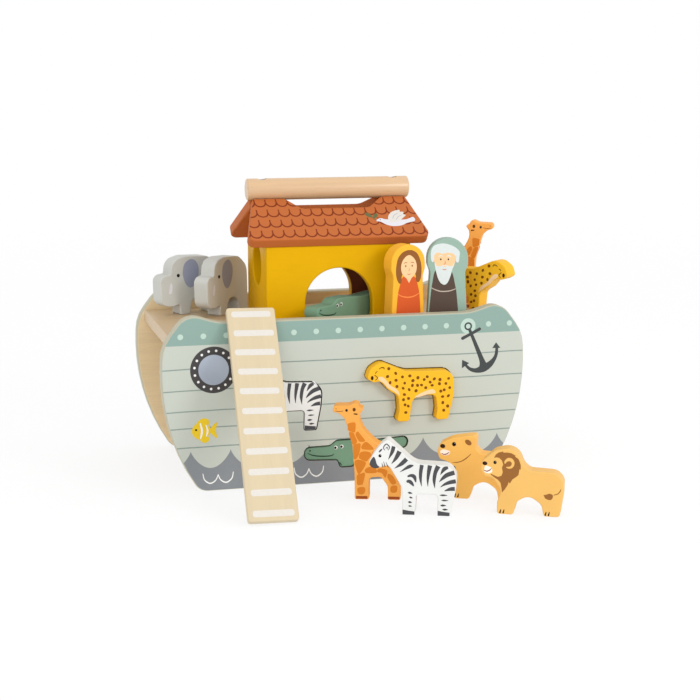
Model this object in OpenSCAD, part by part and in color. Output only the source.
// Wooden toy ark: a sorter hull with a cabin, a gangplank, two people and seven kinds of animal.
// Millimetres, +Z up, +X along the hull, the front side panel faces -Y.
// The origin is on the floor under the middle of the hull.

/* [Hull] */
// Greatest length of a side panel
hull_length = 300; // [290:1:312]
// Depth over both side panels
hull_depth = 165; // [160:1:175]
// Thickness of a side panel
panel_t = 12; // [10:0.5:14]
// Height of the straight part of the rim
rim_z = 135; // [130:1:142]
// Height at which the side panels are longest
widest_z = 94; // [88:1:98]
// Radius of the long curve from the keel up to the widest point
side_r = 168; // [155:1:190]
// Depth of the deck below the rim
deck_drop = 11; // [8:0.5:13]
// Thickness of the deck and bottom boards
board_t = 10; // [9:0.5:12]
// Distance of the deck's ends from the panels' longest points
deck_inset = 7; // [6:0.5:14]

/* [Cabin] */
// Shift of the cabin along the deck
cabin_x = 4; // [-6:0.5:8]
// Length over both gable walls
cabin_length = 122; // [112:1:126]
// Depth over the front and rear walls
cabin_depth = 79; // [74:1:82]
// Height of the front and rear walls at their outer faces
wall_h = 64; // [58:1:74]
// Thickness of the cabin walls
wall_t = 10; // [9:0.5:12]
// Width of the arched doorways
arch_w = 57; // [48:1:62]
// Height of the straight sides of a doorway
arch_side = 17; // [12:0.5:22]
// Diameter of the round window in each gable
window_d = 35; // [26:1:40]
// Height of the window's centre above the deck
window_h = 46; // [38:1:50]

/* [Roof] */
// Pitch of the roof boards
roof_pitch = 37; // [33:0.5:40]
// Thickness of the roof boards
roof_t = 9.5; // [8:0.5:10.5]
// Length of a roof board along the eave
eave_length = 155; // [146:1:158]
// Length of a roof board along the ridge
ridge_length = 131; // [124:1:140]
// Overhang of the eave's upper edge in front of the wall
eave_out = 6.5; // [5:0.5:8]
// Width of the finger notch at the ridge
grip_w = 83; // [70:1:88]
// Depth of the finger notch along the slope
grip_deep = 13; // [9:0.5:15]
// Diameter of the ridge handle
handle_d = 18; // [16:0.5:20]
// Length of the ridge handle
handle_length = 138; // [134:1:144]

/* [Fixings] */
// Diameter of the hull dowels
hull_dowel_d = 6; // [5:0.5:7]
// Diameter of the cabin dowels
cabin_dowel_d = 5; // [4:0.5:6]
// Diameter of the screw shanks in the ridge handle
screw_d = 4; // [3:0.5:4.5]
// Diameter of the screw heads
screw_head_d = 8; // [7:0.5:9]
// Radial clearance of dowels and screws in their holes
fixing_clearance = 0.05; // [0.03:0.01:0.08]

/* [Gangplank] */
// Length of the gangplank past the edge of the rim that it leans on
plank_over = 9.4; // [6:0.1:14]
// Width of the gangplank
plank_w = 38.5; // [34:0.5:44]
// Thickness of the gangplank
plank_t = 5.5; // [4.5:0.5:7]
// Distance of its foot in front of the hull
plank_reach = 101; // [88:1:102]

/* [Figures] */
// Thickness of every animal and person
figure_t = 14; // [12:0.5:17]
// Gap all round an animal in its sorter slot
slot_clearance = 0.8; // [0.6:0.1:1.2]
// Length of a zebra
zebra_length = 69; // [62:1:71]
// Length of a leopard
leopard_length = 74; // [66:1:76]
// Length of a crocodile
crocodile_length = 85; // [76:1:86]
// Length of a giraffe
giraffe_length = 54; // [48:1:56]
// Length of a lion and a lioness
lion_length = 63.5; // [56:0.5:66]
// Length of an elephant
elephant_length = 59; // [52:1:61]
// Height of the bearded man
man_height = 70; // [62:1:71]
// Height of the woman
woman_height = 66; // [58:1:68]

/* [Hidden] */
half = hull_length / 2;
panel_front_y = -hull_depth / 2;
inner_y = hull_depth / 2 - panel_t;
deck_z = rim_z - deck_drop;
deck_half = half - deck_inset;
keel_half = half - side_r + sqrt(side_r * side_r - widest_z * widest_z);
keel_round = 12;
bottom_half = keel_half - 9;

// Roof: the boards' undersides meet in a line above the middle of the cabin
ridge_under_z = deck_z + wall_h + cabin_depth / 2 * tan(roof_pitch);
ridge_seam = 0.3;
eave_y = cabin_depth / 2 + eave_out;
eave_run = (eave_y - roof_t * sin(roof_pitch)) / cos(roof_pitch);
groove_y = ridge_seam * cos(roof_pitch) + roof_t * sin(roof_pitch);
groove_z = ridge_under_z - ridge_seam * sin(roof_pitch) + roof_t * cos(roof_pitch);
handle_r = handle_d / 2;
handle_gap = 0.05;
grip_x = 3;
grip_run = 13;
handle_z = groove_z + sqrt(pow(handle_r + handle_gap, 2) - groove_y * groove_y);

// Fixings
hull_dowel_length = 22;
panel_socket = 8;
board_socket = 16;
cabin_dowel_length = 18;
deck_socket = 6.5;
wall_socket = 12.5;
screw_x = cabin_length / 2 - wall_t / 2;
screw_sink = 1;
screw_head_h = 3;
screw_end_z = ridge_under_z - 18;
screw_room = 0.3;

// Gangplank
plank_lean = atan(plank_reach / rim_z);
plank_length = norm([plank_reach, rim_z]) + plank_over;
plank_corner = 2.5;
plank_gap = 0.3;
plank_tilt = 1.5;
plank_x = -83.4;
plank_foot = [plank_x, panel_front_y - plank_reach - plank_gap / cos(plank_lean)];

// Figure outlines: corners [x, z, radius], clockwise, facing -X with the feet on z = 0
ZEBRA = [
    [-0.4, 38.5, 3], [2.8, 45.6, 6], [9.2, 54.2, 5], [14.2, 58, 2.5], [34.5, 40, 14], [60.5, 39, 8], [66.4, 31.5, 9],
    [65.4, 19, 14], [61.6, 0, 1.5], [51.9, 0, 1.5], [52.3, 16.5, 3], [36, 16.5, 3], [35, 0, 1.5], [25.6, 0, 1.5],
    [25.4, 21, 12], [15, 38.5, 4], [6.5, 35.5, 3]
];
LEOPARD = [
    [-1, 36.6, 2.5], [1.4, 44.4, 8], [10.5, 50.2, 9], [31.5, 41.2, 16], [67, 40.6, 8], [72.4, 34.6, 8], [72.2, 19, 30],
    [67.6, 0, 2.5], [56.8, 0, 2.5], [58.4, 9.5, 5], [56.8, 20.6, 4], [46.5, 21.4, 12], [37.4, 18.4, 6], [34.6, 0, 2.5],
    [23.6, 0, 2.5], [26.2, 9.5, 5], [25.2, 21.6, 6], [17.5, 26.2, 8], [10.4, 34.4, 5], [4.8, 33.4, 3]
];
CROCODILE = [
    [0, 7.6, 4.5], [0, 17.4, 4.5], [21, 17.8, 6], [26.5, 22, 4], [42, 22.2, 12], [58, 20.6, 20], [87.5, 22.2, 4],
    [85, 13.8, 3.5], [70, 9.5, 8], [67, 0, 2.5], [56, 0, 2.5], [54.5, 5, 2], [42, 5, 2], [40.5, 0, 2.5],
    [29.5, 0, 2.5], [27.5, 6.2, 3]
];
GIRAFFE = [
    [0.3, 69.6, 2], [1.2, 74.2, 2.5], [12.8, 74.6, 3], [17.4, 76.6, 1.2], [20.6, 75.6, 1.1], [20.8, 73.2, 1.2],
    [24.6, 72.2, 1.1], [21.6, 68, 2], [20.8, 63, 10], [24.8, 54.8, 12], [33, 46.2, 14], [41.4, 42, 12], [48.1, 31, 16],
    [50.4, 16, 20], [53.4, 8, 10], [53.4, 0, 1.5], [43.4, 0, 1.5], [43.4, 11, 6], [38.2, 18.4, 4], [28.9, 17.6, 3],
    [28.9, 0, 1.5], [17.7, 0, 1.5], [17.5, 20, 40], [15.7, 44.5, 30], [12, 57.5, 20], [9.6, 64.6, 5], [5, 68.4, 3]
];
LION = [
    [0.2, 34.2, 3], [1.2, 40.2, 5], [10.8, 48.8, 8], [26.8, 52.4, 11], [32.6, 38.2, 10], [37.4, 34.6, 6],
    [57.4, 33.8, 9], [62.8, 27.8, 8], [62.6, 17, 20], [60.2, 0, 2.5], [48.4, 0, 2.5], [46.5, 9, 7], [37, 15.6, 8],
    [28, 10.5, 7], [25.4, 0, 2.5], [13.2, 0, 2.5], [13.2, 9, 6], [16.2, 18.5, 6], [9.6, 28, 5], [3.6, 28.8, 3]
];
LIONESS = [
    [-0.2, 36.5, 3], [1.2, 43, 5], [11, 48, 14], [24, 50.4, 8], [30.4, 50.8, 2.5], [29.8, 40.6, 3],
    [33.6, 36.6, 5], [56.6, 35.4, 10], [62.6, 28.8, 9], [62.4, 17, 20], [60, 0, 2.5], [48.2, 0, 2.5], [46.4, 9, 7],
    [37, 15.4, 8], [28, 10.5, 7], [25, 0, 2.5], [12.8, 0, 2.5], [13, 10, 8], [14.6, 20, 8], [8, 29.4, 5], [1.6, 31, 3]
];
ELEPHANT = [
    [-1.4, 33.8, 6], [8.8, 35, 1.5], [10, 46.6, 10], [23, 49.7, 9], [46, 48.6, 13], [58.4, 39, 13], [59, 18, 20],
    [58.6, 0, 1.5], [45.4, 0, 1.5], [44.2, 13.5, 7], [29, 13.5, 7], [27.6, 0, 1.5], [17.6, 0, 1.5], [17.6, 9, 1.5],
    [11.4, 7.4, 3], [-0.6, 8.4, 7]
];
MAN = [
    [-16.6, 0, 2], [-14.4, 42.5, 8], [-16.8, 48.5, 6], [-16.6, 70, 16.5], [16.6, 70, 16.5], [16.8, 48.5, 6],
    [14.4, 42.5, 8], [16.6, 0, 2]
];
WOMAN = [
    [-15.7, 0, 2], [-13.7, 40, 8], [-15.7, 46, 6], [-15.5, 66, 15.4], [15.5, 66, 15.4], [15.7, 46, 6],
    [13.7, 40, 8], [15.7, 0, 2]
];
ZEBRA_DRAWN = 69;
LEOPARD_DRAWN = 74;
CROCODILE_DRAWN = 85;
GIRAFFE_DRAWN = 54;
LION_DRAWN = 63.5;
ELEPHANT_DRAWN = 59;
MAN_DRAWN = 70;
WOMAN_DRAWN = 66;

zebra_corners = sized(ZEBRA, zebra_length / ZEBRA_DRAWN);
leopard_corners = sized(LEOPARD, leopard_length / LEOPARD_DRAWN);
crocodile_corners = sized(CROCODILE, crocodile_length / CROCODILE_DRAWN);
giraffe_corners = sized(GIRAFFE, giraffe_length / GIRAFFE_DRAWN);
lion_corners = sized(LION, lion_length / LION_DRAWN);
lioness_corners = sized(LIONESS, lion_length / LION_DRAWN);
elephant_corners = sized(ELEPHANT, elephant_length / ELEPHANT_DRAWN);
man_corners = sized(MAN, man_height / MAN_DRAWN);
woman_corners = sized(WOMAN, woman_height / WOMAN_DRAWN);

// Sorter slots: middle of the animal along the hull, and the height of its feet
zebra_slot = [-53.4, 45.3];
leopard_slot = [51.9, 49.7];
crocodile_slot = [6.8, 13];
elephant_slot = [84, 42];
giraffe_slot = [4, 24];
lion_slot = [-82, 42];
slot_drop = slot_clearance - 0.3;
leopard_proud = 8;
crocodile_sunk = 1;
slot_cut = 1;

// Standing places of the loose figures' middles: on the walk beside the cabin, on the deck, and on the floor
// as [x, distance in front of the hull]
walk_y = -(inner_y + eave_y) / 2;
man_along = 86.6;
woman_along = 50;
crocodile_along = 4;
crocodile_y = -37.6;
elephant_1_at = [-108, 46.3];
elephant_2_at = [-81.2, 32.9];
leopard_deck_at = [122.3, -30.3];
giraffe_deck_at = [131, 19];
giraffe_floor = [3, 48.6];
zebra_floor = [26.3, 99.5];
lion_floor = [104.9, 120.3];
lioness_floor = [87.3, 71.1];

// Turn of each loose figure about the vertical
man_angle = -13;
woman_angle = 12.5;
elephant_1_angle = 22;
elephant_2_angle = 45;
crocodile_angle = 37;
leopard_angle = 131.4;
giraffe_deck_angle = 155;
giraffe_floor_angle = -19;
zebra_angle = -22;
lion_angle = -27;
lioness_angle = -27;

$fn = 64;

// Outline helpers

function unit(v) = v / norm(v);
function flat(c) = [c[0], c[1]];
function sized(corners, k) = [for (c = corners) c * k];
function mirrored(corners) = [for (i = [len(corners) - 1:-1:0]) [-corners[i][0], corners[i][1], corners[i][2]]];
function shifted(corners, by) = [for (c = corners) [c[0] + by[0], c[1] + by[1], c[2]]];
function out_normal(a, b) = let (d = unit(flat(b) - flat(a))) [-d[1], d[0]];

// Arc points that replace corner c, which lies between corners a and b
function round_corner(a, c, b) =
    let (
        to_a = unit(flat(a) - flat(c)),
        to_b = unit(flat(b) - flat(c)),
        half_angle = acos(to_a * to_b) / 2,
        middle = flat(c) + unit(to_a + to_b) * c[2] / sin(half_angle),
        start = flat(c) + to_a * c[2] / tan(half_angle) - middle,
        end = flat(c) + to_b * c[2] / tan(half_angle) - middle,
        from = atan2(start[1], start[0]),
        sweep = (atan2(end[1], end[0]) - from + 900) % 360 - 180,
        steps = max(2, ceil(abs(sweep) / 12))
    )
    [for (i = [0:steps]) middle + c[2] * [cos(from + sweep * i / steps), sin(from + sweep * i / steps)]];

// Outline of a list of corners: a corner with no radius stays a point
function rounded(corners) =
    let (n = len(corners))
    [for (i = [0:n - 1])
        each corners[i][2] > 0
            ? round_corner(corners[(i + n - 1) % n], corners[i], corners[(i + 1) % n])
            : [flat(corners[i])]];

// The same corners moved outward by a gap, so that the outline grows by it all round
function grown(corners, gap) =
    let (n = len(corners))
    [for (i = [0:n - 1])
        let (
            in = out_normal(corners[(i + n - 1) % n], corners[i]),
            out = out_normal(corners[i], corners[(i + 1) % n]),
            convex = in[0] * out[1] - in[1] * out[0] < 0,
            at = flat(corners[i]) + gap * (in + out) / (1 + in * out)
        )
        [at[0], at[1], convex ? corners[i][2] + gap : max(corners[i][2] - gap, 0.3)]];

// Right half of a side panel: keel corner, long side curve, raised end and rim
function panel_half() =
    let (start = asin((widest_z - 16) / side_r), steps = 6)
    concat(
        [[half - 46, rim_z, 40], [half - 20.6, rim_z + 8, 16], [half - 0.7, rim_z - 18, 34]],
        [for (i = [0:steps])
            let (angle = -start * i / steps)
            [half - side_r + side_r * cos(angle), widest_z + side_r * sin(angle), 0]],
        [[keel_half, 0, keel_round]]
    );

function panel_corners() = concat(panel_half(), mirrored(panel_half()));

function beside_cabin(along, y) = [cabin_x + along, y];
function before_hull(place) = [place[0], panel_front_y - place[1]];

function under_roof_z(y) = ridge_under_z - abs(y) * tan(roof_pitch);

function slot_outline(corners, length, at) =
    rounded(grown(shifted(corners, [at[0] - length / 2, at[1]]), slot_clearance));

// Shared shapes

module upright(thickness) {
    rotate([90, 0, 0]) linear_extrude(thickness) children();
}

module standing(corners, length, at, turn, z) {
    translate([at[0], at[1], z]) rotate([0, 0, turn]) translate([-length / 2, figure_t / 2, 0])
        upright(figure_t) polygon(rounded(corners));
}

module slotted(corners, length, slot, proud) {
    translate([slot[0] - length / 2, panel_front_y + figure_t - proud, slot[1] - slot_drop])
        upright(figure_t) polygon(rounded(corners));
}

module panel_sockets() {
    r = hull_dowel_d / 2 + fixing_clearance;
    for (p = hull_dowel_places())
        translate([p[0], -inner_y - panel_socket, p[1]]) rotate([-90, 0, 0]) cylinder(h = panel_socket + 1, r = r);
}

module side_panel() {
    translate([0, -inner_y, 0]) upright(panel_t) polygon(rounded(panel_corners()));
}

module panel_slot(outline) {
    translate([0, -inner_y + slot_cut, 0]) upright(panel_t + 2 * slot_cut) polygon(outline);
}

function hull_dowel_places() =
    [for (z = [deck_z - board_t / 2, board_t / 2], side = [-1, 0, 1])
        [side * (z > rim_z / 2 ? 0.62 : 0.5) * half, z]];

function cabin_dowel_places() =
    concat(
        [for (sx = [-1, 1], sy = [-1, 1]) [cabin_x + sx * (arch_w + cabin_length) / 4, sy * (cabin_depth - wall_t) / 2]],
        [for (sx = [-1, 1], sy = [-1, 1]) [cabin_x + sx * screw_x, sy * cabin_depth / 5]]
    );

module hull_board(half_length, top) {
    r = hull_dowel_d / 2 + fixing_clearance;
    difference() {
        translate([-half_length, -inner_y, top - board_t]) cube([2 * half_length, 2 * inner_y, board_t]);
        for (p = hull_dowel_places(), side = [0, 1])
            mirror([0, side, 0]) translate([p[0], -inner_y - 1, p[1]])
                rotate([-90, 0, 0]) cylinder(h = board_socket + 1, r = r);
    }
}

module cabin_sockets(below, above) {
    for (p = cabin_dowel_places())
        translate([p[0], p[1], deck_z - below])
            cylinder(h = below + above, r = cabin_dowel_d / 2 + fixing_clearance);
}

module long_wall() {
    depth = cabin_depth / 2;
    difference() {
        translate([cabin_x - cabin_length / 2, 0, 0]) rotate([90, 0, 90]) linear_extrude(cabin_length)
            polygon([
                [-depth, deck_z], [wall_t - depth, deck_z],
                [wall_t - depth, under_roof_z(depth - wall_t)], [-depth, under_roof_z(depth)]
            ]);
        translate([cabin_x, wall_t - depth + 1, deck_z + arch_side]) rotate([90, 0, 0])
            cylinder(h = wall_t + 2, r = arch_w / 2);
        translate([cabin_x - arch_w / 2, -depth - 1, deck_z - 1]) cube([arch_w, wall_t + 2, arch_side + 1]);
        cabin_sockets(1, wall_socket);
    }
}

module gable_wall(side) {
    depth = cabin_depth / 2 - wall_t;
    difference() {
        translate([cabin_x + side * screw_x - wall_t / 2, 0, 0]) rotate([90, 0, 90]) linear_extrude(wall_t)
            polygon([
                [-depth, deck_z], [depth, deck_z], [depth, under_roof_z(depth)],
                [0, ridge_under_z], [-depth, under_roof_z(depth)]
            ]);
        translate([cabin_x + side * screw_x - wall_t / 2 - 1, 0, deck_z + window_h]) rotate([0, 90, 0])
            cylinder(h = wall_t + 2, d = window_d);
        translate([cabin_x + side * screw_x, 0, screw_end_z - screw_room])
            cylinder(h = handle_z - screw_end_z, r = screw_d / 2 + fixing_clearance);
        cabin_sockets(1, wall_socket);
    }
}

// Board in its own plane: x along the ridge, y up the slope, 0 at the ridge line
function roof_corners() =
    let (top = -ridge_seam, bottom = -eave_run)
    [
        [-eave_length / 2, bottom, 6], [-ridge_length / 2, top, 3],
        [grip_x - grip_w / 2, top, 7], [grip_x - grip_w / 2 + grip_run, top - grip_deep, 7],
        [grip_x + grip_w / 2 - grip_run, top - grip_deep, 7], [grip_x + grip_w / 2, top, 7],
        [ridge_length / 2, top, 3], [eave_length / 2, bottom, 6]
    ];

module roof_board() {
    difference() {
        translate([cabin_x, 0, ridge_under_z]) rotate([roof_pitch, 0, 0])
            linear_extrude(roof_t) polygon(rounded(roof_corners()));
        for (side = [-1, 1])
            translate([cabin_x + side * screw_x, 0, screw_end_z])
                cylinder(h = handle_z - screw_end_z, r = screw_d / 2 + screw_room);
    }
}

module screw(clearance) {
    top = handle_z + handle_r - screw_sink;
    translate([0, 0, screw_end_z]) cylinder(h = top - screw_head_h / 2 - screw_end_z, r = screw_d / 2 + clearance);
    translate([0, 0, top - screw_head_h])
        cylinder(h = screw_head_h, r1 = screw_d / 2 + clearance, r2 = screw_head_d / 2 + clearance);
}

// Sub-parts

module front_side_panel() {
    color("#cdd3c6") difference() {
        side_panel();
        panel_sockets();
        panel_slot(slot_outline(zebra_corners, zebra_length, zebra_slot));
        panel_slot(slot_outline(leopard_corners, leopard_length, leopard_slot));
        panel_slot(slot_outline(crocodile_corners, crocodile_length, crocodile_slot));
    }
}

module rear_side_panel() {
    color("#cdd3c6") mirror([0, 1, 0]) difference() {
        side_panel();
        panel_sockets();
        panel_slot(slot_outline(elephant_corners, elephant_length, elephant_slot));
        panel_slot(slot_outline(giraffe_corners, giraffe_length, giraffe_slot));
        panel_slot(slot_outline(lion_corners, lion_length, lion_slot));
    }
}

module deck_board() {
    color("#c9ab83") difference() {
        hull_board(deck_half, deck_z);
        cabin_sockets(deck_socket, 1);
    }
}

module bottom_board() {
    color("#c9ab83") hull_board(bottom_half, board_t);
}

module hull_dowels() {
    spare = (panel_socket + board_socket - hull_dowel_length) / 2;
    color("#d8b98c") for (p = hull_dowel_places(), side = [0, 1])
        mirror([0, side, 0]) translate([p[0], -inner_y - panel_socket + spare, p[1]])
            rotate([-90, 0, 0]) cylinder(h = hull_dowel_length, d = hull_dowel_d);
}

module cabin_front_wall() {
    color("#e8b500") long_wall();
}

module cabin_rear_wall() {
    color("#e8b500") mirror([0, 1, 0]) long_wall();
}

module cabin_left_wall() {
    color("#e8b500") gable_wall(-1);
}

module cabin_right_wall() {
    color("#e8b500") gable_wall(1);
}

module cabin_dowels() {
    spare = (deck_socket + wall_socket - cabin_dowel_length) / 2;
    color("#d8b98c") for (p = cabin_dowel_places())
        translate([p[0], p[1], deck_z - deck_socket + spare]) cylinder(h = cabin_dowel_length, d = cabin_dowel_d);
}

module roof_front_board() {
    color("#cd7541") roof_board();
}

module roof_rear_board() {
    color("#cd7541") mirror([0, 1, 0]) roof_board();
}

module ridge_handle() {
    color("#e1b987") difference() {
        translate([cabin_x - handle_length / 2, 0, handle_z]) rotate([0, 90, 0]) cylinder(h = handle_length, r = handle_r);
        for (side = [-1, 1]) translate([cabin_x + side * screw_x, 0, 0]) {
            screw(fixing_clearance);
            translate([0, 0, handle_z + handle_r - screw_sink])
                cylinder(h = 2 * screw_sink, r = screw_head_d / 2 + fixing_clearance);
        }
    }
}

module handle_screws() {
    color("#8d8f92") for (side = [-1, 1]) translate([cabin_x + side * screw_x, 0, 0]) screw(0);
}

module gangplank() {
    w = plank_w / 2;
    raise = (w - plank_corner) * sin(plank_tilt) + plank_corner * (1 - cos(plank_tilt));
    color("#ecd9b4") translate([plank_foot[0], plank_foot[1], 0]) rotate([90 - plank_lean, 0, 0])
        translate([0, raise, 0]) rotate([0, 0, -plank_tilt]) linear_extrude(plank_t)
            polygon(rounded([
                [-w, 0, plank_corner], [-w, plank_length, plank_corner],
                [w, plank_length, plank_corner], [w, 0, plank_corner]
            ]));
}

module bearded_man_figure() {
    color("#a5bea9") standing(man_corners, 0, beside_cabin(man_along, walk_y), man_angle, deck_z);
}

module woman_figure() {
    color("#fdbe3c") standing(woman_corners, 0, beside_cabin(woman_along, walk_y), woman_angle, deck_z);
}

module elephant_1() {
    color("#b4b4aa") standing(elephant_corners, elephant_length, elephant_1_at, elephant_1_angle, deck_z);
}

module elephant_2() {
    color("#b4b4aa") standing(elephant_corners, elephant_length, elephant_2_at, elephant_2_angle, deck_z);
}

module crocodile_1() {
    color("#6e9678") slotted(crocodile_corners, crocodile_length, crocodile_slot, -crocodile_sunk);
}

module crocodile_2() {
    color("#6e9678")
        standing(crocodile_corners, crocodile_length, beside_cabin(crocodile_along, crocodile_y), crocodile_angle, deck_z);
}

module leopard_1() {
    color("#fdc430") slotted(leopard_corners, leopard_length, leopard_slot, leopard_proud);
}

module leopard_2() {
    color("#fdc430") standing(leopard_corners, leopard_length, leopard_deck_at, leopard_angle, deck_z);
}

module giraffe_1() {
    color("#f0a44a") standing(giraffe_corners, giraffe_length, before_hull(giraffe_floor), giraffe_floor_angle, 0);
}

module giraffe_2() {
    color("#f0a44a") standing(giraffe_corners, giraffe_length, giraffe_deck_at, giraffe_deck_angle, deck_z);
}

module zebra_1() {
    color("#f0f0ee") slotted(zebra_corners, zebra_length, zebra_slot, 0);
}

module zebra_2() {
    color("#f0f0ee") standing(zebra_corners, zebra_length, before_hull(zebra_floor), zebra_angle, 0);
}

module lion() {
    color("#fac873") standing(lion_corners, lion_length, before_hull(lion_floor), lion_angle, 0);
}

module lioness() {
    color("#f5be64") standing(lioness_corners, lion_length, before_hull(lioness_floor), lioness_angle, 0);
}

front_side_panel();
rear_side_panel();
deck_board();
bottom_board();
hull_dowels();
cabin_front_wall();
cabin_rear_wall();
cabin_left_wall();
cabin_right_wall();
cabin_dowels();
roof_front_board();
roof_rear_board();
ridge_handle();
handle_screws();
gangplank();
bearded_man_figure();
woman_figure();
elephant_1();
elephant_2();
crocodile_1();
crocodile_2();
leopard_1();
leopard_2();
giraffe_1();
giraffe_2();
zebra_1();
zebra_2();
lion();
lioness();
